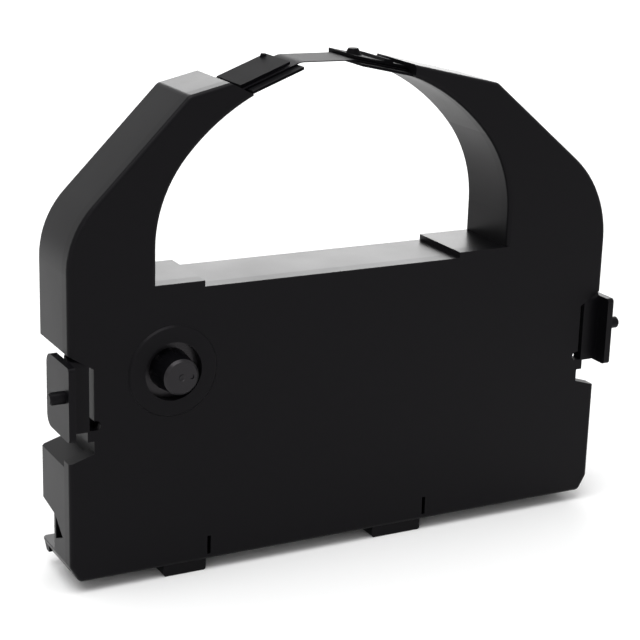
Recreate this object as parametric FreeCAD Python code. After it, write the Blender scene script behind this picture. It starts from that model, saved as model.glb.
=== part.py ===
import FreeCAD, Part
import math
import os

# Printer ribbon cartridge, standing on its two bottom tabs with its front cover facing -Y.
# All sizes are in millimetres. The case is drawn with x across the front from its left side,
# y from the front face to the back, and z up from its bottom edge, and is moved at the end
# so that the origin is the centre of the bounding box's bottom face.

# Driving sizes of the case
CASE_WIDTH = 155.0
BODY_HEIGHT = 73.0
RIBBON_WIDTH = 12.8
RIBBON_ROOM = 2.25
RIM_PLAY = 0.05
WALL = 1.8
COVER_RIM = 4.0
RIBBON_FRONT = COVER_RIM - RIM_PLAY
CASE_DEPTH = RIBBON_FRONT + RIBBON_WIDTH + RIBBON_ROOM + WALL
COVER_PLATE = 1.9
COVER_ROUND = 1.1
BACK_BEVEL = 0.7
RUNNING_GAP = 0.08
BODY_GAP = 0.3

# Arms and roof line
LEFT_TIP_X = 31.0
LEFT_TIP_Z = BODY_HEIGHT + 47.0
LEFT_SLANT_DEG = 45.5
LEFT_SHOULDER_R = 23.0
RIGHT_TIP_X = CASE_WIDTH - 37.3
RIGHT_TIP_Z = BODY_HEIGHT + 45.6
RIGHT_SLANT_DEG = 39.6
RIGHT_SHOULDER_R = 30.0
ROOF_DEG = 13.2
CORNER_R = 1.6
CHAMFER_WIDTH = 2.4
CHAMFER_HEIGHT = 4.2
TIP_CORNER_R = 2.2

# Arch window, a three-centred arch
LEFT_ARM_WIDTH = 22.6
RIGHT_ARM_WIDTH = 32.0
ARCH_HALF_WIDTH = (CASE_WIDTH - LEFT_ARM_WIDTH - RIGHT_ARM_WIDTH) / 2
ARCH_CENTRE_X = LEFT_ARM_WIDTH + ARCH_HALF_WIDTH
ARCH_SPRING_Z = BODY_HEIGHT + 10.4
ARCH_RISE = ARCH_HALF_WIDTH * 0.827
ARCH_SIDE_R = ARCH_HALF_WIDTH * 0.677
PAD_HEIGHT = 1.5
LEFT_PAD_WIDTH = 12.8
RIGHT_PAD_WIDTH = 14.6
LEFT_ARM_END_X = ARCH_CENTRE_X - ARCH_HALF_WIDTH * 0.498
LEFT_ARM_CHAMFER_X = 6.2
RIGHT_ARM_END_X = ARCH_CENTRE_X + ARCH_HALF_WIDTH * 0.394

# Side notches
NOTCH_DEPTH = 6.4
NOTCH_LOW_Z = BODY_HEIGHT - 41.4
NOTCH_HIGH_Z = BODY_HEIGHT - 13.7
NOTCH_CHAMFER = 4.0
NOTCH_REAR_DROP = 1.8

# Latch arms, moulded with the front cover
LATCH_OUT = 1.5
LATCH_THICK = 1.8
LATCH_WEB_DEPTH = 3.4
LATCH_SLOT = 1.2
LATCH_NECK_HEIGHT = 2.6
LATCH_FORWARD = 4.2
LATCH_REACH = 11.6
LATCH_LOW_Z = NOTCH_LOW_Z + 7.3
LATCH_HIGH_Z = NOTCH_HIGH_Z - 1.6
LATCH_FRONT_R = 1.0
LATCH_BACK_R = 3.0
RELIEF_R = 1.3
PEG_R = 1.6
PEG_LENGTH = 3.9
PEG_Y = -0.9
PEG_Z = LATCH_HIGH_Z - 8.0

# Hook pockets at the two lower back corners
POCKET_WIDTH = 6.0
POCKET_DEPTH = 8.9
POCKET_LOW_Z = 4.9
POCKET_HIGH_Z = 15.5
HOOK_REACH = 1.5
SLOT_WALL = 1.1
SLOT_DEPTH = 5.2

# Tabs under the case
TAB_DROP = 3.0
TAB_FRONT = 0.8
TAB_WALL = 1.5
TAB_SPANS = (
    (25.0, 36.7),
    (CASE_WIDTH - 69.4, CASE_WIDTH - 54.6),
)
TAB_SLIT = 1.0
TAB_SLIT_HEIGHT = 5.0

# Ribbon
RIBBON_THICK = 0.25
FOLD_PITCH = 3.4
FOLD_FIRST_X = 63.0
FOLD_LAST_X = CASE_WIDTH - 24.0
FOLD_LOW_Z = 6.0
FOLD_HIGH_Z = BODY_HEIGHT - 6.0
FOLD_R = 0.8
CREASE_STEPS = 3
RUN_GAP = 0.35

# Drive wheel, knob and idler
DRIVE_X = 27.0
DRIVE_Z = BODY_HEIGHT - 20.7
TOOTH_MODULE = 1.0
DRIVE_TEETH = 20
IDLER_TEETH = 15
NIP_GAP = 0.5
TOOTH_HEIGHT = 1.5
TOOTH_WIDTH = RIBBON_WIDTH + 0.2
GROOVE_WIDTH = 3.6
SHAFT_R = 4.2
SOCKET_R = 2.6
SOCKET_LENGTH = 9.0
SOCKET_KEY = 1.2
KNOB_FLANGE_R = 9.2
KNOB_FLANGE_THICK = 0.9
KNOB_BASE_R = 5.4
KNOB_END_R = 4.6
KNOB_PROUD = 5.2
KNOB_FLUTES = 8
KNOB_FLUTE_R = 0.6
KNOB_DIMPLE_R = 1.2
KNOB_SPOT_R = 0.65
KNOB_SPIGOT_R = 2.4
KNOB_SPIGOT_LENGTH = 4.0
WELL_R = 7.5
BOSS_R = 11.8
BOSS_HEIGHT = 0.5
IDLER_BORE_R = 1.8
ARM_LENGTH = 15.4
ARM_HALF_WIDTH = 3.0
ARM_BAR_R = 1.0
ARM_BAR_DROP = 5.3
ARM_SLEEVE_WALL = 1.0
PIVOT_PIN_R = 1.6

# Spring behind the idler's arm, and the bend where the ribbon leaves the store
SPRING_THICK = 0.35
SPRING_WIDTH = RIBBON_WIDTH * 0.55
SPRING_FOOT_X = 57.5
SPRING_FOOT_Z = DRIVE_Z - 0.3
SPRING_BEND_R = 2.0
SPRING_POST_R = 2.0
BRAKE_X = CASE_WIDTH - 19.0
BRAKE_Z = BODY_HEIGHT - 1.0

# Rollers and posts that turn the ribbon
ROLLER_R = 2.0
ROLLER_PIN_R = 1.0
LEFT_ROLLER_X = LEFT_TIP_X + 3.5
LEFT_ROLLER_Z = LEFT_TIP_Z - 4.0
RIGHT_ROLLER_X = RIGHT_TIP_X - 5.1
RIGHT_ROLLER_Z = RIGHT_TIP_Z - 4.0
POST_R = 1.5
LEFT_POST_X = 8.6
LEFT_POST_Z = BODY_HEIGHT + 11.0
RIGHT_POST_X = CASE_WIDTH - 10.4
RIGHT_POST_Z = BODY_HEIGHT + 11.0

# Ribbon guides of the bridge
GUIDE_FRONT = 0.9
GUIDE_LIP = 4.1
GUIDE_SKIN = 0.7
GUIDE_GAP = 0.75
SPAN_BEND_R = 4.0
LEFT_GUIDE_X = (LEFT_ARM_END_X - 1.4, LEFT_ARM_END_X + 11.8)
LEFT_GUIDE_Z = (BODY_HEIGHT + 48.0, BODY_HEIGHT + 53.1)
LEFT_FLOOR_REACH = 1.8
RIGHT_GUIDE_X = (RIGHT_ARM_END_X - 15.0, RIGHT_ARM_END_X - 0.4)
RIGHT_GUIDE_Z = (BODY_HEIGHT + 53.8, BODY_HEIGHT + 50.6)
FOOT_LENGTH = 5.0
NUB_R = 2.2
NUB_HEIGHT = 1.5
GUIDE_RIB = 0.7
STUD_R = 0.9
STUD_HEIGHT = 0.6

# Worked-out values
TOTAL_FRONT = max(LATCH_FORWARD, KNOB_PROUD + BOSS_HEIGHT)
TOTAL_BACK = CASE_DEPTH + HOOK_REACH
MIDDLE_Y = (TOTAL_BACK - TOTAL_FRONT) / 2
DRIVE_PITCH_R = TOOTH_MODULE * DRIVE_TEETH / 2
IDLER_PITCH_R = TOOTH_MODULE * IDLER_TEETH / 2
IDLER_X = DRIVE_X + DRIVE_PITCH_R + IDLER_PITCH_R + NIP_GAP
IDLER_Z = DRIVE_Z
ARM_PIVOT_X = IDLER_X
ARM_PIVOT_Z = IDLER_Z + ARM_LENGTH
ROOF_SLOPE = math.tan(math.radians(ROOF_DEG))
INNER_BACK = CASE_DEPTH - WALL
RIBBON_BACK = RIBBON_FRONT + RIBBON_WIDTH
RIBBON_MIDDLE = RIBBON_FRONT + RIBBON_WIDTH / 2
GUIDE_BACK = INNER_BACK


def vec(x, z, y=0.0):
    return FreeCAD.Vector(x, y, z)


def box(x0, x1, y0, y1, z0, z1):
    return Part.makeBox(x1 - x0, y1 - y0, z1 - z0, FreeCAD.Vector(x0, y0, z0))


def rod(x, z, y0, y1, r):
    return Part.makeCylinder(r, y1 - y0, vec(x, z, y0), FreeCAD.Vector(0, 1, 0))


def slab(points, y0, y1):
    """A straight-sided outline in the xz plane, extruded from y0 to y1."""
    ring = [vec(x, z, y0) for x, z in points]
    wire = Part.makePolygon(ring + [ring[0]])
    return Part.Face(wire).extrude(FreeCAD.Vector(0, y1 - y0, 0))


def mirrored(shape, middle_x):
    return shape.mirror(vec(middle_x, 0), FreeCAD.Vector(1, 0, 0))


# Outlines

def inset_corners(points, inset):
    """Corners of a convex anticlockwise outline, each side moved in by the inset."""
    moved = []
    count = len(points)
    for i in range(count):
        ax, az = points[i - 1]
        bx, bz = points[i]
        cx, cz = points[(i + 1) % count]
        ux, uz = unit(bx - ax, bz - az)
        vx, vz = unit(cx - bx, cz - bz)
        half = 1 + ux * vx + uz * vz
        moved.append((bx + inset * (-uz - vz) / half, bz + inset * (ux + vx) / half))
    return moved


def unit(x, z):
    size = math.hypot(x, z)
    return x / size, z / size


def rounded_wire(points, radii, y):
    """A closed wire through the corners, each rounded by its radius."""
    edges = []
    starts = []
    ends = []
    count = len(points)
    for i in range(count):
        bx, bz = points[i]
        ax, az = points[i - 1]
        cx, cz = points[(i + 1) % count]
        ux, uz = unit(ax - bx, az - bz)
        vx, vz = unit(cx - bx, cz - bz)
        half = math.acos(ux * vx + uz * vz) / 2
        run = radii[i] / math.tan(half)
        mx, mz = unit(ux + vx, uz + vz)
        out = radii[i] / math.sin(half) - radii[i]
        starts.append((bx + ux * run, bz + uz * run))
        ends.append((bx + vx * run, bz + vz * run))
        if radii[i] > 0:
            middle = (bx + mx * out, bz + mz * out)
            edges.append(Part.Arc(vec(*starts[i], y), vec(*middle, y), vec(*ends[i], y)).toShape())
    for i in range(count):
        edges.append(Part.makeLine(vec(*ends[i], y), vec(*starts[(i + 1) % count], y)))
    return Part.Wire(Part.__sortEdges__(edges))


def outer_corners():
    left_slope = math.tan(math.radians(LEFT_SLANT_DEG))
    right_slope = math.tan(math.radians(RIGHT_SLANT_DEG))
    left_shoulder = LEFT_TIP_Z - LEFT_TIP_X * left_slope
    right_shoulder = RIGHT_TIP_Z - (CASE_WIDTH - RIGHT_TIP_X) * right_slope
    apex_x = (RIGHT_TIP_Z - LEFT_TIP_Z) / ROOF_SLOPE / 2 + (LEFT_TIP_X + RIGHT_TIP_X) / 2
    apex_z = LEFT_TIP_Z + (apex_x - LEFT_TIP_X) * ROOF_SLOPE
    return [
        (0.0, CHAMFER_HEIGHT),
        (CHAMFER_WIDTH, 0.0),
        (CASE_WIDTH - CHAMFER_WIDTH, 0.0),
        (CASE_WIDTH, CHAMFER_HEIGHT),
        (CASE_WIDTH, right_shoulder),
        (RIGHT_TIP_X, RIGHT_TIP_Z),
        (apex_x, apex_z),
        (LEFT_TIP_X, LEFT_TIP_Z),
        (0.0, left_shoulder),
    ]


def outline_block(inset, y0, y1):
    """The case's outer form without window, notches or arm ends, moved in by the inset."""
    corner = max(CORNER_R - inset, 0.2)
    tip = max(TIP_CORNER_R - inset, 0.2)
    right = RIGHT_SHOULDER_R - inset
    left = LEFT_SHOULDER_R - inset
    radii = [corner, corner, corner, corner, right, tip, 0.0, tip, left]
    wire = rounded_wire(inset_corners(outer_corners(), inset), radii, y0)
    return Part.Face(wire).extrude(FreeCAD.Vector(0, y1 - y0, 0))


def arch_crown():
    """Radius of the arch's crown, and how far its centre lies below the springing."""
    side = ARCH_HALF_WIDTH - ARCH_SIDE_R
    rest = ARCH_RISE - ARCH_SIDE_R
    drop = (side * side - rest * rest) / (2 * rest)
    return ARCH_RISE + drop, drop


def window_block(growth, y0, y1):
    """The arch window with its two root pads left standing, grown on all sides."""
    crown_r, drop = arch_crown()
    side_r = ARCH_SIDE_R + growth
    crown_r = crown_r + growth
    reach = ARCH_HALF_WIDTH - ARCH_SIDE_R
    ux, uz = unit(reach, drop)
    join_x = reach + side_r * ux
    join_z = ARCH_SPRING_Z + side_r * uz
    wide = ARCH_HALF_WIDTH + growth
    top_z = ARCH_SPRING_Z - drop + crown_r
    mid_x = reach + side_r * math.cos(math.atan2(uz, ux) / 2)
    mid_z = ARCH_SPRING_Z + side_r * math.sin(math.atan2(uz, ux) / 2)
    floor_z = BODY_HEIGHT - growth
    pad_z = floor_z + PAD_HEIGHT
    c = ARCH_CENTRE_X
    left_step = c - ARCH_HALF_WIDTH + LEFT_PAD_WIDTH - growth
    right_step = c + ARCH_HALF_WIDTH - RIGHT_PAD_WIDTH + growth
    line = Part.makeLine
    arc = Part.Arc
    edges = [
        line(vec(left_step, floor_z, y0), vec(right_step, floor_z, y0)),
        line(vec(right_step, floor_z, y0), vec(right_step, pad_z, y0)),
        line(vec(right_step, pad_z, y0), vec(c + wide, pad_z, y0)),
        line(vec(c + wide, pad_z, y0), vec(c + wide, ARCH_SPRING_Z, y0)),
        arc(vec(c + wide, ARCH_SPRING_Z, y0), vec(c + mid_x, mid_z, y0), vec(c + join_x, join_z, y0)).toShape(),
        arc(vec(c + join_x, join_z, y0), vec(c, top_z, y0), vec(c - join_x, join_z, y0)).toShape(),
        arc(vec(c - join_x, join_z, y0), vec(c - mid_x, mid_z, y0), vec(c - wide, ARCH_SPRING_Z, y0)).toShape(),
        line(vec(c - wide, ARCH_SPRING_Z, y0), vec(c - wide, pad_z, y0)),
        line(vec(c - wide, pad_z, y0), vec(left_step, pad_z, y0)),
        line(vec(left_step, pad_z, y0), vec(left_step, floor_z, y0)),
    ]
    return Part.Face(Part.Wire(edges)).extrude(FreeCAD.Vector(0, y1 - y0, 0))


def arm_gap(y0, y1):
    """What is cut away above the arch between the ends of the two arms."""
    high = max(LEFT_TIP_Z, RIGHT_TIP_Z) + CASE_WIDTH / 4
    low = ARCH_SPRING_Z
    start = LEFT_ARM_END_X - LEFT_ARM_CHAMFER_X
    start_z = LEFT_TIP_Z + (start - LEFT_TIP_X) * ROOF_SLOPE
    fall = LEFT_ARM_CHAMFER_X / 2
    return slab([
        (LEFT_ARM_END_X, low),
        (RIGHT_ARM_END_X, low),
        (RIGHT_ARM_END_X, high),
        (start, high),
        (start, start_z),
        (LEFT_ARM_END_X, start_z - fall),
    ], y0, y1)


def notch_block(y0, y1, growth=0.0, drop=0.0):
    """Left side notch with slanted ends; growth widens it for the wall behind it."""
    low = NOTCH_LOW_Z - drop - growth
    high = NOTCH_HIGH_Z + growth
    deep = NOTCH_DEPTH + growth
    return slab([
        (-NOTCH_DEPTH, low - NOTCH_CHAMFER / 3),
        (0.0, low),
        (deep, low + NOTCH_CHAMFER / 2),
        (deep, high - NOTCH_CHAMFER),
        (0.0, high),
        (-NOTCH_DEPTH, high),
    ], y0, y1)


def pocket_block(growth=0.0):
    """Hook pocket at the lower left back corner."""
    return slab_yz([
        (CASE_DEPTH - POCKET_DEPTH - growth, POCKET_LOW_Z - growth),
        (CASE_DEPTH * 1.2, POCKET_LOW_Z - growth),
        (CASE_DEPTH * 1.2, POCKET_HIGH_Z + 1.2 + growth),
        (CASE_DEPTH - POCKET_DEPTH - growth, POCKET_HIGH_Z - 0.8 + growth),
    ], -NOTCH_DEPTH, POCKET_WIDTH + growth)


def hook_slot():
    """Three-cornered slot through the side wall in front of the left hook pocket."""
    back_y = CASE_DEPTH - POCKET_DEPTH - SLOT_WALL
    return slab_yz([
        (back_y, POCKET_LOW_Z + 3.3),
        (back_y, POCKET_HIGH_Z - 1.2),
        (back_y - SLOT_DEPTH, POCKET_LOW_Z + 5.5),
    ], -1.0, WALL + 0.5)


def hook_tip():
    """Pointed back end of the left hook ledge."""
    return slab_yz([
        (CASE_DEPTH - WALL, CHAMFER_HEIGHT * 0.2),
        (CASE_DEPTH, CHAMFER_HEIGHT * 0.2),
        (CASE_DEPTH + HOOK_REACH, POCKET_LOW_Z * 0.55),
        (CASE_DEPTH, POCKET_LOW_Z),
        (CASE_DEPTH - WALL, POCKET_LOW_Z),
    ], CHAMFER_WIDTH * 0.4, POCKET_WIDTH)


def slab_yz(points, x0, x1):
    ring = [FreeCAD.Vector(x0, y, z) for y, z in points]
    wire = Part.makePolygon(ring + [ring[0]])
    return Part.Face(wire).extrude(FreeCAD.Vector(x1 - x0, 0, 0))


# The ribbon's route: circles that it bends round, joined by their tangents

def tangent(first, second):
    """Ends of the straight run from one circle to the next; turn is +1 anticlockwise."""
    x1, z1, r1, turn1 = first
    x2, z2, r2, turn2 = second
    dx = x2 - x1
    dz = z2 - z1
    reach = math.hypot(dx, dz)
    lean = -math.asin((turn2 * r2 - turn1 * r1) / reach)
    ux = (dx * math.cos(lean) - dz * math.sin(lean)) / reach
    uz = (dx * math.sin(lean) + dz * math.cos(lean)) / reach
    start = (x1 + turn1 * r1 * uz, z1 - turn1 * r1 * ux)
    end = (x2 + turn2 * r2 * uz, z2 - turn2 * r2 * ux)
    return start, end


def strip(route, thick, y0, y1):
    """A band of even thickness along a route of circles; its first and last have no radius."""
    runs = [tangent(route[i], route[i + 1]) for i in range(len(route) - 1)]
    sides = []
    for side in (thick / 2, -thick / 2):
        edges = []
        for i, (start, end) in enumerate(runs):
            ux, uz = unit(end[0] - start[0], end[1] - start[1])
            a = vec(start[0] - uz * side, start[1] + ux * side, y0)
            b = vec(end[0] - uz * side, end[1] + ux * side, y0)
            edges.append(Part.makeLine(a, b))
            if i + 1 < len(runs):
                edges.extend(bend(route[i + 1], end, runs[i + 1][0], side, y0))
        sides.append(edges)
    head = Part.makeLine(sides[0][0].Vertexes[0].Point, sides[1][0].Vertexes[0].Point)
    foot = Part.makeLine(sides[0][-1].Vertexes[-1].Point, sides[1][-1].Vertexes[-1].Point)
    wire = Part.Wire(Part.__sortEdges__(sides[0] + [foot] + sides[1] + [head]))
    return Part.Face(wire).extrude(FreeCAD.Vector(0, y1 - y0, 0))


def bend(circle, end, start, side, y):
    """The arc round one circle, on one face of the band; the tight folds are creased."""
    x, z, r, turn = circle
    first = math.atan2(end[1] - z, end[0] - x)
    last = math.atan2(start[1] - z, start[0] - x)
    sweep = (last - first) * turn
    while sweep < 0:
        sweep += 2 * math.pi
    middle = first + turn * sweep / 2
    last = first + turn * sweep
    rr = r - turn * side
    if r == FOLD_R:
        angles = [first + (last - first) * i / CREASE_STEPS for i in range(CREASE_STEPS + 1)]
    else:
        angles = [first, middle, last]
    spots = [vec(x + rr * math.cos(a), z + rr * math.sin(a), y) for a in angles]
    if r == FOLD_R:
        return [Part.makeLine(spots[i], spots[i + 1]) for i in range(CREASE_STEPS)]
    return [Part.Arc(*spots).toShape()]


def on_line(x, xs, zs):
    return zs[0] + (x - xs[0]) * (zs[1] - zs[0]) / (xs[1] - xs[0])


def guide_middle(x, xs, zs):
    """Height of the ribbon's middle inside a guide whose top runs between two points."""
    return on_line(x, xs, zs) - GUIDE_SKIN - GUIDE_GAP / 2


def bridge_route():
    """From the left arm's roller over the window to the right arm's roller."""
    left_end = LEFT_GUIDE_X[1] + LEFT_FLOOR_REACH
    wrap = ROLLER_R + RUN_GAP
    return [
        (LEFT_ROLLER_X, LEFT_ROLLER_Z, wrap, -1),
        guide_bend(LEFT_GUIDE_X[0], LEFT_GUIDE_X, LEFT_GUIDE_Z, 1),
        guide_bend(left_end, LEFT_GUIDE_X, LEFT_GUIDE_Z, -1),
        guide_bend(RIGHT_GUIDE_X[0], RIGHT_GUIDE_X, RIGHT_GUIDE_Z, -1),
        guide_bend(RIGHT_GUIDE_X[1], RIGHT_GUIDE_X, RIGHT_GUIDE_Z, -1),
        (RIGHT_ROLLER_X, RIGHT_ROLLER_Z, wrap, -1),
    ]


def guide_bend(x, xs, zs, turn):
    """A bend that leaves the ribbon on the middle line of a guide, beside the given place."""
    ux, uz = unit(xs[1] - xs[0], zs[1] - zs[0])
    z = guide_middle(x, xs, zs)
    return x - turn * SPAN_BEND_R * uz, z + turn * SPAN_BEND_R * ux, SPAN_BEND_R, turn


def left_route():
    wrap = DRIVE_PITCH_R + TOOTH_HEIGHT / 2 + RUN_GAP + NIP_GAP / 2
    nip_x = DRIVE_X + wrap * math.cos(math.radians(38))
    nip_z = DRIVE_Z + wrap * math.sin(math.radians(38))
    return [
        (nip_x, nip_z, 0.0, 1),
        (DRIVE_X, DRIVE_Z, wrap - 0.001, 1),
        (LEFT_POST_X, LEFT_POST_Z, POST_R + RUN_GAP, -1),
        (LEFT_ROLLER_X, LEFT_ROLLER_Z, ROLLER_R + RUN_GAP, -1),
    ]


def fold_route():
    """Zigzag folds of the stored ribbon, from the brake back to the wheels."""
    folds = []
    x = FOLD_LAST_X
    number = 0
    while x > FOLD_FIRST_X:
        drop = 2.2 * (1 + math.sin(1.9 * number))
        if number % 2:
            folds.append((x, FOLD_LOW_Z + drop, FOLD_R, -1))
        else:
            folds.append((x, FOLD_HIGH_Z - drop, FOLD_R, 1))
        x -= FOLD_PITCH
        number += 1
    if number % 2:
        folds.append((x, FOLD_LOW_Z, FOLD_R, -1))
    return folds


def nip_exit():
    return (IDLER_X - IDLER_PITCH_R - NIP_GAP / 2, DRIVE_Z - DRIVE_PITCH_R * 0.75)


# The pieces

def toothed_wheel(x, z, teeth, phase, y0, y1):
    """A feed wheel with blunt teeth that leave room for the ribbon between them."""
    pitch_r = TOOTH_MODULE * teeth / 2
    tip_r = pitch_r + TOOTH_HEIGHT / 2
    root_r = pitch_r - TOOTH_HEIGHT / 2 - 0.2
    step = 2 * math.pi / teeth
    points = []
    for i in range(teeth):
        middle = phase + i * step
        for share, r in ((-0.31, root_r), (-0.12, tip_r), (0.12, tip_r), (0.31, root_r)):
            angle = middle + share * step
            points.append((x + r * math.cos(angle), z + r * math.sin(angle)))
    return slab(points, y0, y1)


def wheel_groove(x, z, outer_r, core_r):
    """Groove round the middle of a wheel, for the fork that peels the ribbon off."""
    y0 = RIBBON_MIDDLE - GROOVE_WIDTH / 2
    y1 = RIBBON_MIDDLE + GROOVE_WIDTH / 2
    return rod(x, z, y0, y1, outer_r).cut(rod(x, z, y0, y1, core_r))


def drive_wheel():
    front = RIBBON_MIDDLE - TOOTH_WIDTH / 2
    back = RIBBON_MIDDLE + TOOTH_WIDTH / 2
    wheel = toothed_wheel(DRIVE_X, DRIVE_Z, DRIVE_TEETH, 0.0, front, back)
    wheel = wheel.cut(wheel_groove(DRIVE_X, DRIVE_Z, DRIVE_PITCH_R * 1.4, DRIVE_PITCH_R * 0.72))
    wheel = wheel.fuse(rod(DRIVE_X, DRIVE_Z, front, CASE_DEPTH - RUNNING_GAP, SHAFT_R))
    socket = rod(DRIVE_X, DRIVE_Z, CASE_DEPTH - SOCKET_LENGTH, CASE_DEPTH, SOCKET_R)
    key = box(DRIVE_X - SOCKET_KEY / 2, DRIVE_X + SOCKET_KEY / 2, CASE_DEPTH - SOCKET_LENGTH, CASE_DEPTH,
              DRIVE_Z, DRIVE_Z + SOCKET_R + SOCKET_KEY / 2)
    hole = rod(DRIVE_X, DRIVE_Z, front, front + KNOB_SPIGOT_LENGTH + 0.2, KNOB_SPIGOT_R)
    return wheel.cut(socket).cut(key).cut(hole).removeSplitter()


def tension_knob():
    """Turned knob: a tapered fluted grip, a flange behind the cover and a spigot."""
    flange_y = COVER_PLATE + BODY_GAP
    end_y = -KNOB_PROUD - BOSS_HEIGHT
    back_y = flange_y + KNOB_FLANGE_THICK
    spigot_y = RIBBON_MIDDLE - TOOTH_WIDTH / 2 + KNOB_SPIGOT_LENGTH
    flange_r = KNOB_FLANGE_R
    profile = [
        (0.0, end_y),
        (KNOB_END_R - 0.6, end_y),
        (KNOB_END_R, end_y + 0.6),
        (KNOB_BASE_R, flange_y),
        (flange_r, flange_y),
        (flange_r, back_y),
        (KNOB_SPIGOT_R, back_y),
        (KNOB_SPIGOT_R, spigot_y),
        (0.0, spigot_y),
    ]
    ring = [FreeCAD.Vector(DRIVE_X + r, y, DRIVE_Z) for r, y in profile]
    face = Part.Face(Part.makePolygon(ring + [ring[0]]))
    knob = face.revolve(vec(DRIVE_X, DRIVE_Z), FreeCAD.Vector(0, 1, 0), 360)
    for i in range(KNOB_FLUTES):
        angle = 2 * math.pi * i / KNOB_FLUTES
        r = KNOB_BASE_R + KNOB_FLUTE_R * 0.2
        flute = rod(DRIVE_X + r * math.cos(angle), DRIVE_Z + r * math.sin(angle),
                    end_y + 1.2, flange_y - 0.6, KNOB_FLUTE_R)
        knob = knob.cut(flute)
    dimple = Part.makeSphere(KNOB_DIMPLE_R, vec(DRIVE_X, DRIVE_Z, end_y - KNOB_DIMPLE_R * 0.65))
    spot = rod(DRIVE_X + KNOB_END_R * 0.55, DRIVE_Z, end_y, end_y + 0.3, KNOB_SPOT_R)
    return knob.cut(dimple).cut(spot)


def idler_wheel():
    front = RIBBON_MIDDLE - TOOTH_WIDTH / 2
    back = RIBBON_MIDDLE + TOOTH_WIDTH / 2
    half_step = math.pi / IDLER_TEETH
    wheel = toothed_wheel(IDLER_X, IDLER_Z, IDLER_TEETH, math.pi + half_step, front, back)
    wheel = wheel.cut(wheel_groove(IDLER_X, IDLER_Z, IDLER_PITCH_R * 1.4, IDLER_PITCH_R * 0.66))
    return wheel.cut(rod(IDLER_X, IDLER_Z, front, back, IDLER_BORE_R))


def arm_plate(y0, y1):
    """Outline of one cheek of the idler's arm, from its pivot to the wheel's axle."""
    ux, uz = unit(IDLER_X - ARM_PIVOT_X, IDLER_Z - ARM_PIVOT_Z)
    w = ARM_HALF_WIDTH
    points = [
        (ARM_PIVOT_X - uz * w, ARM_PIVOT_Z + ux * w),
        (IDLER_X - uz * w, IDLER_Z + ux * w),
        (IDLER_X + uz * w, IDLER_Z - ux * w),
        (ARM_PIVOT_X + uz * w, ARM_PIVOT_Z - ux * w),
    ]
    plate = slab(points, y0, y1)
    return plate.fuse([rod(ARM_PIVOT_X, ARM_PIVOT_Z, y0, y1, w), rod(IDLER_X, IDLER_Z, y0, y1, w)])


def idler_arm():
    """Two cheeks, the axle and the spring's bar between them, and a sleeve round the pivot."""
    front = RIBBON_MIDDLE - TOOTH_WIDTH / 2 - BODY_GAP
    back = RIBBON_MIDDLE + TOOTH_WIDTH / 2 + BODY_GAP
    rear = arm_plate(back, INNER_BACK - BODY_GAP)
    fore = arm_plate(COVER_PLATE + BODY_GAP, front)
    bar_x, bar_z = arm_bar()
    bar = rod(bar_x, bar_z, front, back, ARM_BAR_R)
    axle = rod(IDLER_X, IDLER_Z, front, back, IDLER_BORE_R - RUNNING_GAP)
    sleeve = rod(ARM_PIVOT_X, ARM_PIVOT_Z, front, back, PIVOT_PIN_R + ARM_SLEEVE_WALL)
    bore = rod(ARM_PIVOT_X, ARM_PIVOT_Z, 0, CASE_DEPTH, PIVOT_PIN_R + RUNNING_GAP)
    return rear.fuse([fore, axle, sleeve, bar]).cut(bore).removeSplitter()


def arm_bar():
    """Centre of the bar that the spring presses, on the arm's far side from the drive."""
    return ARM_PIVOT_X + ARM_HALF_WIDTH - ARM_BAR_R - 0.4, ARM_PIVOT_Z - ARM_BAR_DROP


def idler_spring():
    """Leaf spring from a slotted post of the case to the bar of the idler's arm."""
    y0 = RIBBON_MIDDLE - SPRING_WIDTH / 2
    bar_x, bar_z = arm_bar()
    reach = ARM_BAR_R + BODY_GAP + SPRING_THICK / 2
    route = [
        (SPRING_FOOT_X, SPRING_FOOT_Z - SPRING_POST_R - 0.6, 0.0, 1),
        (SPRING_FOOT_X - SPRING_BEND_R, SPRING_FOOT_Z + SPRING_POST_R + 0.6, SPRING_BEND_R, 1),
        (bar_x, bar_z, reach, 1),
        (bar_x - 0.6, bar_z + reach, 0.0, 1),
    ]
    return strip(route, SPRING_THICK, y0, y0 + SPRING_WIDTH)


def ribbon_inner():
    """The part of the endless ribbon inside the case: both arms' runs and the stored folds."""
    exit_x, exit_z = nip_exit()
    wrap = ROLLER_R + RUN_GAP
    right = [
        (RIGHT_ROLLER_X, RIGHT_ROLLER_Z, wrap, -1),
        (RIGHT_POST_X, RIGHT_POST_Z, POST_R + RUN_GAP, -1),
        (BRAKE_X, BRAKE_Z - 2.0, 3.0, 1),
    ]
    tail = [(FOLD_FIRST_X - 3.0, FOLD_HIGH_Z - 45.0, 4.0, 1), (exit_x + 1.0, exit_z - 8.0, 3.0, -1)]
    route = [roof_start(1)] + right + fold_route() + tail + [(exit_x, exit_z, 0.0, 1)]
    return strip(route, RIBBON_THICK, RIBBON_FRONT, RIBBON_BACK)


def roof_start(side):
    """Where the exposed span ends inside an arm: -1 for the left one, 1 for the right one."""
    pair = bridge_route()[-2:] if side > 0 else bridge_route()[:2]
    start, end = tangent(*pair)
    return (start[0] + end[0]) / 2, (start[1] + end[1]) / 2, 0.0, 1


def ribbon_span():
    """The exposed part of the ribbon, over the window."""
    route = [roof_start(-1)] + bridge_route()[1:-1] + [roof_start(1)]
    return strip(route, RIBBON_THICK, RIBBON_FRONT, RIBBON_BACK)


def ribbon_left():
    """The ribbon's run in the left arm, from the exposed span down to the feed wheels."""
    route = left_route() + [roof_start(-1)]
    return strip(route, RIBBON_THICK, RIBBON_FRONT, RIBBON_BACK)


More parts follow.
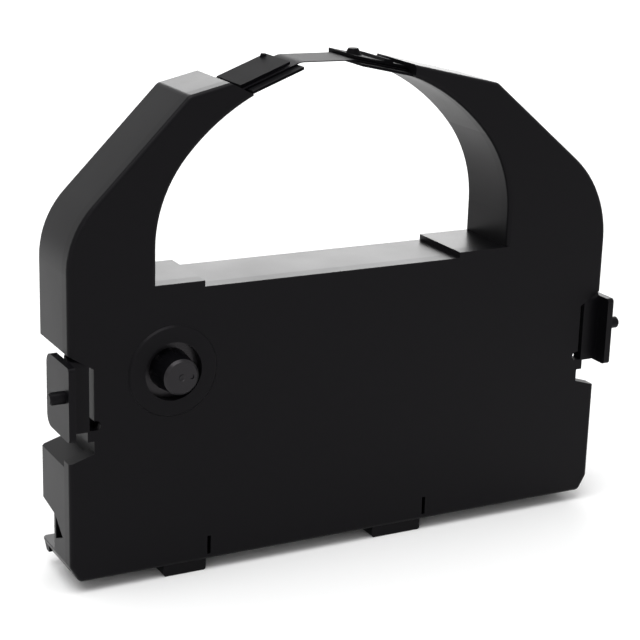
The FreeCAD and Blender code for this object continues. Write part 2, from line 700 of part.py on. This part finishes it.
def mouth_block():
    """Clear way for the ribbon through the ends of both arms."""
    route = bridge_route()
    first = tangent(route[0], route[1])[0]
    last = tangent(route[-2], route[-1])[1]
    route = [(*first, 0.0, 1)] + route[1:-1] + [(*last, 0.0, 1)]
    return strip(route, RIBBON_THICK + 2 * RUN_GAP, RIBBON_FRONT - RUN_GAP, RIBBON_BACK + RUN_GAP)


def ribbon_guide(xs, zs, floor_start, floor_end, foot_x0, foot_x1):
    """A C-shaped channel: roof, floor and a web at the back that reaches into the arm."""
    def band(x0, x1, top, bottom, y0, y1):
        return slab([
            (x0, on_line(x0, xs, zs) - bottom),
            (x1, on_line(x1, xs, zs) - bottom),
            (x1, on_line(x1, xs, zs) - top),
            (x0, on_line(x0, xs, zs) - top),
        ], y0, y1)
    depth = 2 * GUIDE_SKIN + GUIDE_GAP
    web_y = RIBBON_BACK + RUN_GAP
    roof = band(xs[0], xs[1], 0.0, GUIDE_SKIN, GUIDE_FRONT + GUIDE_LIP, GUIDE_BACK)
    floor = band(floor_start, floor_end, depth - GUIDE_SKIN, depth, GUIDE_FRONT, GUIDE_BACK)
    web = band(max(xs[0], floor_start), min(xs[1], floor_end), 0.0, depth, web_y, GUIDE_BACK)
    foot = band(foot_x0, foot_x1, GUIDE_SKIN * 0.3, GUIDE_SKIN + GUIDE_GAP, web_y, GUIDE_BACK)
    return roof.fuse([floor, web, foot]).removeSplitter()


def left_guide():
    start = LEFT_ARM_END_X
    guide = ribbon_guide(LEFT_GUIDE_X, LEFT_GUIDE_Z, start, LEFT_GUIDE_X[1] + LEFT_FLOOR_REACH,
                         LEFT_ARM_END_X - FOOT_LENGTH, start + 1.0)
    stud_x = LEFT_GUIDE_X[1] - STUD_R - 0.2
    stud_z = on_line(stud_x, LEFT_GUIDE_X, LEFT_GUIDE_Z) - GUIDE_SKIN / 2
    stud = Part.makeCone(STUD_R, STUD_R * 0.7, STUD_HEIGHT + GUIDE_SKIN / 2, vec(stud_x, stud_z, GUIDE_BACK - 1.2))
    return guide.fuse(stud)


def right_guide():
    end = RIGHT_GUIDE_X[1]
    guide = ribbon_guide(RIGHT_GUIDE_X, RIGHT_GUIDE_Z, RIGHT_GUIDE_X[0], end, end - 1.0, end + FOOT_LENGTH)
    rib_x = RIGHT_GUIDE_X[0] + 8.0
    rib_z = on_line(rib_x, RIGHT_GUIDE_X, RIGHT_GUIDE_Z)
    rib = slab([
        (rib_x, rib_z - GUIDE_SKIN / 2),
        (rib_x + 3.4, rib_z - GUIDE_SKIN / 2 - 0.7),
        (rib_x + 2.6, rib_z + GUIDE_RIB - 0.55),
        (rib_x + 0.8, rib_z + GUIDE_RIB - 0.1),
    ], GUIDE_FRONT + GUIDE_LIP, GUIDE_BACK)
    nub_x = RIGHT_GUIDE_X[0] + NUB_R + 0.2
    nub_z = on_line(nub_x, RIGHT_GUIDE_X, RIGHT_GUIDE_Z) - GUIDE_SKIN / 2
    nub = Part.makeCone(NUB_R, NUB_R * 0.6, NUB_HEIGHT + GUIDE_SKIN / 2, vec(nub_x, nub_z, RIBBON_MIDDLE))
    return guide.fuse([rib, nub]).removeSplitter()


def latch_arm():
    """Left latch arm: an outer plate with a peg, on a web that a low neck joins to the cover."""
    x0 = -LATCH_OUT
    x1 = x0 + LATCH_THICK
    corners = [
        (-LATCH_FORWARD, LATCH_LOW_Z),
        (LATCH_REACH, LATCH_LOW_Z),
        (LATCH_REACH, LATCH_HIGH_Z),
        (-LATCH_FORWARD, LATCH_HIGH_Z),
    ]
    radii = [LATCH_FRONT_R, LATCH_BACK_R, LATCH_BACK_R, LATCH_FRONT_R]
    flat = rounded_wire([(y, z) for y, z in corners], radii, 0.0)
    plate = Part.Face(flat).extrude(FreeCAD.Vector(0, LATCH_THICK, 0))
    plate.rotate(FreeCAD.Vector(0, 0, 0), FreeCAD.Vector(0, 0, 1), 90)
    plate.translate(FreeCAD.Vector(x1, 0, 0))
    inner_x = NOTCH_DEPTH - LATCH_SLOT
    web = box(x1 - 0.2, inner_x, 0.0, LATCH_WEB_DEPTH, LATCH_LOW_Z + 0.6, LATCH_HIGH_Z + 1.0)
    round_edges = [e for e in web.Edges if edge_at(e, z=LATCH_HIGH_Z + 1.0, y=0.0)]
    web = web.makeFillet(LATCH_WEB_DEPTH * 0.8, round_edges)
    neck = box(inner_x - 0.5, NOTCH_DEPTH + WALL, 0.0, LATCH_WEB_DEPTH,
               LATCH_LOW_Z - LATCH_NECK_HEIGHT + 0.6, LATCH_LOW_Z + 0.8)
    peg = Part.makeCylinder(PEG_R, PEG_LENGTH + 0.2, FreeCAD.Vector(x0 - PEG_LENGTH, PEG_Y, PEG_Z),
                            FreeCAD.Vector(1, 0, 0))
    tip = [e for e in peg.Edges if abs(e.BoundBox.XMax - x0 + PEG_LENGTH) < 0.001]
    peg = peg.makeChamfer(0.4, tip)
    return plate.fuse([web, neck, peg]).removeSplitter()


def edge_at(edge, x=None, y=None, z=None):
    """Whether an edge lies whole in the given planes."""
    b = edge.BoundBox
    for low, high, value in ((b.XMin, b.XMax, x), (b.YMin, b.YMax, y), (b.ZMin, b.ZMax, z)):
        if value is not None and (abs(low - value) > 0.001 or abs(high - value) > 0.001):
            return False
    return True


def rounded_ring(y0, y1, round_y, edge_size, is_round, drop=0.0):
    """Outline with the window cut out, softened along one face, then cut at arms and notches."""
    ring = outline_block(0.0, y0, y1)
    soften = ring.makeFillet if is_round else ring.makeChamfer
    ring = soften(edge_size, [e for e in ring.Edges if edge_at(e, y=round_y)])
    outside = [e.Length for e in ring.Edges if edge_at(e, y=round_y)]
    ring = ring.cut(window_block(0.0, y0 - 1.0, y1 + 1.0))
    flat = [e for e in ring.Edges if edge_at(e, y=round_y) and not on_window_floor(e)]
    window = [e for e in flat if min(abs(e.Length - size) for size in outside) > 0.001]
    soften = ring.makeFillet if is_round else ring.makeChamfer
    ring = soften(edge_size, window)
    ring = ring.cut(arm_gap(y0 - 1.0, y1 + 1.0))
    notch = notch_block(y0 - 1.0, y1 + 1.0, 0.0, drop)
    return ring.cut(notch).cut(mirrored(notch, CASE_WIDTH / 2))


def on_window_floor(edge):
    """Whether an edge belongs to the window's floor or its root pads."""
    b = edge.BoundBox
    return b.ZMin > BODY_HEIGHT - 0.01 and b.ZMax < BODY_HEIGHT + PAD_HEIGHT + 0.01


def front_cover():
    """Shallow tray with rounded front edges, boss and well for the knob, and latch arms."""
    y1 = COVER_RIM
    plate = rounded_ring(0.0, y1, 0.0, COVER_ROUND, True)
    hollow = outline_block(WALL, COVER_PLATE, y1 + 1.0).cut(window_block(WALL, COVER_PLATE, y1 + 1.0))
    deep = notch_block(COVER_PLATE, y1 + 1.0, WALL)
    hollow = hollow.cut(deep).cut(mirrored(deep, CASE_WIDTH / 2))
    plate = plate.cut(hollow)
    boss = rod(DRIVE_X, DRIVE_Z, -BOSS_HEIGHT, COVER_PLATE, BOSS_R)
    boss = boss.makeChamfer(BOSS_HEIGHT * 0.9, [e for e in boss.Edges if edge_at(e, y=-BOSS_HEIGHT)])
    plate = plate.fuse(boss)
    plate = plate.cut(rod(DRIVE_X, DRIVE_Z, -BOSS_HEIGHT - 1.0, COVER_PLATE + 1.0, WELL_R))
    relief = rod(NOTCH_DEPTH + 0.4, LATCH_LOW_Z + 2.0, -1.0, y1 + 1.0, RELIEF_R)
    plate = plate.cut(relief).cut(mirrored(relief, CASE_WIDTH / 2))
    for x0, x1 in TAB_SPANS:
        plate = plate.cut(box(x1, x1 + TAB_SLIT, -1.0, COVER_PLATE, 1.6, TAB_SLIT_HEIGHT + 1.6))
    plate = plate.cut(mouth_block())
    latch = latch_arm()
    return plate.fuse([latch, mirrored(latch, CASE_WIDTH / 2)]).removeSplitter()


def tab_block(x0, x1):
    """A standing tab: a shallow trough under the case's floor."""
    tab = box(x0, x1, TAB_FRONT, CASE_DEPTH, -TAB_DROP, 0.0)
    edges = [e for e in tab.Edges if edge_at(e, z=-TAB_DROP) and e.BoundBox.YLength > 1]
    tab = tab.makeFillet(0.8, edges)
    trough = box(x0 + TAB_WALL, x1 - TAB_WALL, TAB_FRONT + TAB_WALL, CASE_DEPTH + 1.0, -TAB_DROP - 1.0, 0.0)
    root = box(x0, x1, COVER_RIM, CASE_DEPTH, -TAB_WALL, WALL / 2)
    return tab.cut(trough).fuse(root)


def rear_case():
    """Deep shell: back wall, walls round outline and window, posts, seats and tabs."""
    y0 = COVER_RIM
    shell = rounded_ring(y0, CASE_DEPTH, CASE_DEPTH, BACK_BEVEL, False, NOTCH_REAR_DROP)
    hollow = outline_block(WALL, y0 - 1.0, INNER_BACK).cut(window_block(WALL, y0 - 1.0, INNER_BACK))
    deep = notch_block(y0 - 1.0, INNER_BACK, WALL, NOTCH_REAR_DROP)
    hook = pocket_block(WALL)
    for side in (deep, hook):
        hollow = hollow.cut(side).cut(mirrored(side, CASE_WIDTH / 2))
    shell = shell.cut(hollow)
    tips = [hook_tip(), mirrored(hook_tip(), CASE_WIDTH / 2)]
    posts = [
        rod(LEFT_POST_X, LEFT_POST_Z, y0, INNER_BACK + 0.2, POST_R),
        rod(RIGHT_POST_X, RIGHT_POST_Z, y0, INNER_BACK + 0.2, POST_R),
        rod(LEFT_ROLLER_X, LEFT_ROLLER_Z, y0, INNER_BACK + 0.2, ROLLER_PIN_R),
        rod(RIGHT_ROLLER_X, RIGHT_ROLLER_Z, y0, INNER_BACK + 0.2, ROLLER_PIN_R),
        rod(ARM_PIVOT_X, ARM_PIVOT_Z, COVER_PLATE + BODY_GAP, INNER_BACK + 0.2, PIVOT_PIN_R),
        rod(SPRING_FOOT_X, SPRING_FOOT_Z, y0, INNER_BACK + 0.2, SPRING_POST_R),
    ]
    tabs = [tab_block(x0, x1) for x0, x1 in TAB_SPANS]
    collar = rod(DRIVE_X, DRIVE_Z, INNER_BACK - 0.6, CASE_DEPTH, SHAFT_R + 2.0)
    shell = shell.fuse(posts + tabs + tips + [collar])
    shell = shell.cut(rod(DRIVE_X, DRIVE_Z, 0.0, CASE_DEPTH + 1.0, SHAFT_R + RUNNING_GAP))
    hook = pocket_block()
    shell = shell.cut(hook).cut(mirrored(hook, CASE_WIDTH / 2))
    slot = hook_slot()
    shell = shell.cut(slot).cut(mirrored(slot, CASE_WIDTH / 2))
    shell = shell.cut(mouth_block()).cut(idler_spring())
    return shell.cut(left_guide()).cut(right_guide()).removeSplitter()


def guide_roller(x, z):
    front = RIBBON_FRONT + 0.2
    roller = rod(x, z, front, INNER_BACK - BODY_GAP, ROLLER_R)
    return roller.cut(rod(x, z, 0.0, CASE_DEPTH, ROLLER_PIN_R + RUNNING_GAP))


PARTS = {
    "rear_case": rear_case,
    "front_cover": front_cover,
    "tension_knob": tension_knob,
    "drive_wheel": drive_wheel,
    "idler_wheel": idler_wheel,
    "idler_arm": idler_arm,
    "idler_spring": idler_spring,
    "left_guide": left_guide,
    "right_guide": right_guide,
    "ribbon_span": ribbon_span,
    "ribbon_left": ribbon_left,
    "ribbon_inner": ribbon_inner,
    "left_roller": lambda: guide_roller(LEFT_ROLLER_X, LEFT_ROLLER_Z),
    "right_roller": lambda: guide_roller(RIGHT_ROLLER_X, RIGHT_ROLLER_Z),
}


def main():
    os.makedirs("parts", exist_ok=True)
    to_origin = FreeCAD.Vector(-CASE_WIDTH / 2, -MIDDLE_Y, TAB_DROP)
    for name, make in PARTS.items():
        shape = make()
        shape.translate(to_origin)
        solids = shape.Solids
        print(name, "solids", len(solids), "valid", shape.isValid(), "volume", round(shape.Volume, 1))
        if len(solids) == 1:
            shape = solids[0]
        shape.exportStep(os.path.join("parts", name + ".step"))


main()
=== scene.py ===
import math

import bpy
from mathutils import Matrix, Vector

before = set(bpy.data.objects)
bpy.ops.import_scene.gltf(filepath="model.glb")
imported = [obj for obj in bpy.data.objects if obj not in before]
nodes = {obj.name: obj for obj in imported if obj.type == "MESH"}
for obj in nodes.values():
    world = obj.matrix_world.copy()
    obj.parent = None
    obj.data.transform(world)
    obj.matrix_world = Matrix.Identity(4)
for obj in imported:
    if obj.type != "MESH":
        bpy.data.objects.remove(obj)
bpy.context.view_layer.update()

# Camera, fitted to the straight edges of the case in the photograph
CAMERA_PLACE = Vector((-0.21391, -0.39088, 0.19641))
CAMERA_YAW = -28.04
CAMERA_PITCH = -17.02
CAMERA_ROLL = 1.74
CAMERA_LENS = 100.38

# Studio
FLOOR_SIZE = 6.0
FLOOR_COLOUR = (0.98, 0.98, 0.98, 1.0)
BACKGROUND_STRENGTH = 1.0
SURROUND_STRENGTH = 0.55

# Plastic and ribbon
CASE_COLOUR = (0.0018, 0.0018, 0.0023, 1.0)
# Painted highlight: a paler colour mixed onto sharp convex edges
EDGE_HIGHLIGHT_COLOUR = (0.012, 0.011, 0.013, 1.0)
KNOB_COLOUR = (0.0020, 0.0020, 0.0025, 1.0)
WHEEL_COLOUR = (0.030, 0.030, 0.033, 1.0)
RIBBON_COLOUR = (0.0020, 0.0018, 0.0024, 1.0)
STEEL_COLOUR = (0.55, 0.54, 0.52, 1.0)
SHEEN_TINT = (1.0, 0.95, 1.0, 1.0)
PLASTIC_IOR = 1.19


def new_group(name, inputs, outputs):
    """An empty shader node group with named number or colour sockets."""
    group = bpy.data.node_groups.new(name, "ShaderNodeTree")
    for label, kind, default in inputs:
        socket = group.interface.new_socket(label, in_out="INPUT", socket_type=kind)
        if default is not None:
            socket.default_value = default
    for label, kind in outputs:
        group.interface.new_socket(label, in_out="OUTPUT", socket_type=kind)
    entry = group.nodes.new("NodeGroupInput")
    leave = group.nodes.new("NodeGroupOutput")
    return group, entry, leave


def math_node(tree, operation, first, second, clamp=False):
    """A Math node whose inputs are numbers or sockets."""
    made = tree.nodes.new("ShaderNodeMath")
    made.operation = operation
    made.use_clamp = clamp
    for slot, value in zip(made.inputs, (first, second)):
        if isinstance(value, (int, float)):
            slot.default_value = value
        else:
            tree.links.new(value, slot)
    return made.outputs[0]


def moulded_grain_group():
    """Fine spark-eroded grain of a moulding, with slow patches of sheen."""
    group, entry, leave = new_group(
        "Moulded grain",
        [("Grain per metre", "NodeSocketFloat", 2600.0), ("Roughness", "NodeSocketFloat", 0.4),
         ("Patchiness", "NodeSocketFloat", 0.08)],
        [("Height", "NodeSocketFloat"), ("Roughness", "NodeSocketFloat")])
    place = group.nodes.new("ShaderNodeTexCoord").outputs["Object"]
    grain = group.nodes.new("ShaderNodeTexNoise")
    grain.inputs["Detail"].default_value = 3.0
    group.links.new(place, grain.inputs["Vector"])
    group.links.new(entry.outputs["Grain per metre"], grain.inputs["Scale"])
    patches = group.nodes.new("ShaderNodeTexNoise")
    patches.inputs["Scale"].default_value = 55.0
    patches.inputs["Detail"].default_value = 4.0
    group.links.new(place, patches.inputs["Vector"])
    centred = math_node(group, "SUBTRACT", patches.outputs["Fac"], 0.5)
    swing = math_node(group, "MULTIPLY", centred, entry.outputs["Patchiness"])
    rough = math_node(group, "ADD", entry.outputs["Roughness"], swing, clamp=True)
    group.links.new(grain.outputs["Fac"], leave.inputs["Height"])
    group.links.new(rough, leave.inputs["Roughness"])
    return group


def painted_edge_highlight_group():
    """Mask of a painted edge highlight: strong on sharp convex edges, broken up by noise."""
    group, entry, leave = new_group(
        "Painted edge highlight",
        [("Amount", "NodeSocketFloat", 0.5), ("Spread", "NodeSocketFloat", 0.0006)],
        [("Mask", "NodeSocketFloat")])
    bevel = group.nodes.new("ShaderNodeBevel")
    bevel.samples = 4
    group.links.new(entry.outputs["Spread"], bevel.inputs["Radius"])
    geometry = group.nodes.new("ShaderNodeNewGeometry")
    dot = group.nodes.new("ShaderNodeVectorMath")
    dot.operation = "DOT_PRODUCT"
    group.links.new(bevel.outputs["Normal"], dot.inputs[0])
    group.links.new(geometry.outputs["Normal"], dot.inputs[1])
    turn = math_node(group, "SUBTRACT", 1.0, dot.outputs["Value"])
    strong = math_node(group, "MULTIPLY", turn, 3.0, clamp=True)
    noise = group.nodes.new("ShaderNodeTexNoise")
    noise.inputs["Scale"].default_value = 240.0
    place = group.nodes.new("ShaderNodeTexCoord").outputs["Object"]
    group.links.new(place, noise.inputs["Vector"])
    broken = math_node(group, "MULTIPLY", strong, noise.outputs["Fac"])
    mask = math_node(group, "MULTIPLY", broken, entry.outputs["Amount"], clamp=True)
    group.links.new(mask, leave.inputs["Mask"])
    return group


def weave_group():
    """Plain weave of a nylon ribbon: warp along the ribbon, weft across it."""
    group, entry, leave = new_group(
        "Ribbon weave",
        [("Threads per metre", "NodeSocketFloat", 5200.0)],
        [("Height", "NodeSocketFloat")])
    place = group.nodes.new("ShaderNodeTexCoord").outputs["Object"]
    split = group.nodes.new("ShaderNodeSeparateXYZ")
    group.links.new(place, split.inputs[0])
    along = math_node(group, "ADD", split.outputs["X"], split.outputs["Z"])
    density = entry.outputs["Threads per metre"]
    warp = math_node(group, "SINE", math_node(group, "MULTIPLY", along, density), 0.0)
    weft = math_node(group, "SINE", math_node(group, "MULTIPLY", split.outputs["Y"], density), 0.0)
    crossed = math_node(group, "MULTIPLY", warp, weft)
    height = math_node(group, "MULTIPLY_ADD", crossed, 0.5)
    height.node.inputs[2].default_value = 0.5
    group.links.new(height, leave.inputs["Height"])
    return group


GRAIN = moulded_grain_group()
EDGE_HIGHLIGHT = painted_edge_highlight_group()
WEAVE = weave_group()


def new_material(name):
    made = bpy.data.materials.new(name)
    made.use_nodes = True
    tree = made.node_tree
    return made, tree, tree.nodes["Principled BSDF"]


def use_group(tree, group, **values):
    made = tree.nodes.new("ShaderNodeGroup")
    made.node_tree = group
    for label, value in values.items():
        made.inputs[label.replace("_", " ")].default_value = value
    return made


def bump(tree, height, strength, distance, shader):
    made = tree.nodes.new("ShaderNodeBump")
    made.inputs["Strength"].default_value = strength
    made.inputs["Distance"].default_value = distance
    tree.links.new(height, made.inputs["Height"])
    tree.links.new(made.outputs["Normal"], shader.inputs["Normal"])


def plastic(name, colour, roughness, grain, edge_highlight_amount, ior=PLASTIC_IOR):
    """Black moulded plastic: fine grain, patches of sheen and a paler painted highlight on convex
    edges.
    """
    made, tree, shader = new_material(name)
    surface = use_group(tree, GRAIN, Grain_per_metre=grain, Roughness=roughness, Patchiness=0.10)
    # Painted highlight on sharp convex edges, mixed into the base colour below
    edge_highlight = use_group(tree, EDGE_HIGHLIGHT, Amount=edge_highlight_amount, Spread=0.0005)
    mix = tree.nodes.new("ShaderNodeMix")
    mix.data_type = "RGBA"
    mix.inputs["A"].default_value = colour
    mix.inputs["B"].default_value = EDGE_HIGHLIGHT_COLOUR
    tree.links.new(edge_highlight.outputs["Mask"], mix.inputs["Factor"])
    tree.links.new(mix.outputs["Result"], shader.inputs["Base Color"])
    tree.links.new(surface.outputs["Roughness"], shader.inputs["Roughness"])
    shader.inputs["IOR"].default_value = ior
    shader.inputs["Specular Tint"].default_value = SHEEN_TINT
    bump(tree, surface.outputs["Height"], 0.12, 0.00004, shader)
    return made


def inked_ribbon():
    """Nylon ribbon soaked with black ink: woven, with a damp sheen."""
    made, tree, shader = new_material("Inked nylon ribbon")
    weave = use_group(tree, WEAVE, Threads_per_metre=5200.0)
    ramp = tree.nodes.new("ShaderNodeMix")
    ramp.data_type = "RGBA"
    ramp.inputs["A"].default_value = RIBBON_COLOUR
    ramp.inputs["B"].default_value = tuple(c * 2.2 for c in RIBBON_COLOUR[:3]) + (1.0,)
    tree.links.new(weave.outputs["Height"], ramp.inputs["Factor"])
    tree.links.new(ramp.outputs["Result"], shader.inputs["Base Color"])
    shader.inputs["Roughness"].default_value = 0.55
    shader.inputs["IOR"].default_value = 1.15
    bump(tree, weave.outputs["Height"], 0.3, 0.00005, shader)
    return made


def spring_steel():
    """Rolled spring strip with a faint grain along it."""
    made, tree, shader = new_material("Spring steel")
    surface = use_group(tree, GRAIN, Grain_per_metre=900.0, Roughness=0.32, Patchiness=0.2)
    tree.links.new(surface.outputs["Roughness"], shader.inputs["Roughness"])
    shader.inputs["Base Color"].default_value = STEEL_COLOUR
    shader.inputs["Metallic"].default_value = 1.0
    bump(tree, surface.outputs["Height"], 0.1, 0.00003, shader)
    return made


# The last number of each plastic sets the strength of its painted edge highlight
case_plastic = plastic("Housing plastic", CASE_COLOUR, 0.34, 2600.0, 0.5)
cover_plastic = plastic("Cover plastic", CASE_COLOUR, 0.38, 2400.0, 0.5)
knob_plastic = plastic("Knob plastic", KNOB_COLOUR, 0.28, 3000.0, 0.6, ior=1.35)
wheel_plastic = plastic("Wheel plastic", WHEEL_COLOUR, 0.45, 3000.0, 0.2, ior=1.45)
guide_plastic = plastic("Guide plastic", CASE_COLOUR, 0.6, 2600.0, 0.3, ior=1.12)
ribbon_cloth = inked_ribbon()
steel = spring_steel()

FINISHES = {
    "rear_case": case_plastic,
    "front_cover": cover_plastic,
    "left_guide": guide_plastic,
    "right_guide": guide_plastic,
    "tension_knob": knob_plastic,
    "drive_wheel": wheel_plastic,
    "idler_wheel": wheel_plastic,
    "idler_arm": wheel_plastic,
    "left_roller": wheel_plastic,
    "right_roller": wheel_plastic,
    "idler_spring": steel,
    "ribbon_span": ribbon_cloth,
    "ribbon_left": ribbon_cloth,
    "ribbon_inner": ribbon_cloth,
}

for name, finish in FINISHES.items():
    nodes[name].data.materials.clear()
    nodes[name].data.materials.append(finish)


# Studio: pale floor, even surround and soft lamps

def flat_panel(name, size_x, size_y):
    mesh = bpy.data.meshes.new(name)
    x, y = size_x / 2, size_y / 2
    mesh.from_pydata([(-x, -y, 0), (x, -y, 0), (x, y, 0), (-x, y, 0)], [], [(0, 1, 2, 3)])
    made = bpy.data.objects.new(name, mesh)
    bpy.context.scene.collection.objects.link(made)
    return made


def pale_floor():
    made = flat_panel("studio_floor", FLOOR_SIZE, FLOOR_SIZE)
    finish, tree, shader = new_material("Pale floor")
    shader.inputs["Base Color"].default_value = FLOOR_COLOUR
    shader.inputs["Roughness"].default_value = 0.9
    shader.inputs["Specular IOR Level"].default_value = 0.0
    made.data.materials.append(finish)
    return made


def soft_lamp(name, place, aim, size, power):
    data = bpy.data.lights.new(name, "AREA")
    data.shape = "SQUARE"
    data.size = size
    data.energy = power
    made = bpy.data.objects.new(name, data)
    made.location = place
    made.rotation_mode = "QUATERNION"
    made.rotation_quaternion = (Vector(aim) - Vector(place)).to_track_quat("-Z", "Y")
    bpy.context.scene.collection.objects.link(made)
    return made


def surround():
    """World: white for the camera and for reflections, dimmer for soft light."""
    world = bpy.data.worlds.new("Studio surround")
    world.use_nodes = True
    tree = world.node_tree
    path = tree.nodes.new("ShaderNodeLightPath")
    seen = math_node(tree, "MAXIMUM", path.outputs["Is Camera Ray"], path.outputs["Is Glossy Ray"])
    seen = math_node(tree, "MAXIMUM", seen, path.outputs["Is Transmission Ray"])
    span = BACKGROUND_STRENGTH - SURROUND_STRENGTH
    strength = math_node(tree, "ADD", math_node(tree, "MULTIPLY", seen, span), SURROUND_STRENGTH)
    tree.links.new(strength, tree.nodes["Background"].inputs["Strength"])
    tree.nodes["Background"].inputs["Color"].default_value = (1.0, 1.0, 1.0, 1.0)
    bpy.context.scene.world = world


def photo_camera():
    data = bpy.data.cameras.new("Camera")
    data.lens = CAMERA_LENS
    data.sensor_width = 36.0
    data.clip_start = 0.01
    data.clip_end = 20.0
    made = bpy.data.objects.new("Camera", data)
    yaw = Matrix.Rotation(math.radians(CAMERA_YAW), 4, "Z")
    tilt = Matrix.Rotation(math.radians(90.0 + CAMERA_PITCH), 4, "X")
    roll = Matrix.Rotation(math.radians(CAMERA_ROLL), 4, "Z")
    made.matrix_world = Matrix.Translation(CAMERA_PLACE) @ yaw @ tilt @ roll
    bpy.context.scene.collection.objects.link(made)
    bpy.context.scene.camera = made


pale_floor()
surround()
soft_lamp("overhead", (-0.3, -0.2, 1.3), (0.0, 0.0, 0.05), 1.2, 16.0)
soft_lamp("rear_glow", (0.67, 1.27, 0.56), (0.0, 0.0, 0.10), 0.8, 9.0)
soft_lamp("front_fill", (-0.9, -1.0, 0.5), (0.0, 0.0, 0.06), 0.6, 1.5)
photo_camera()

scene = bpy.context.scene
scene.view_settings.view_transform = "Standard"
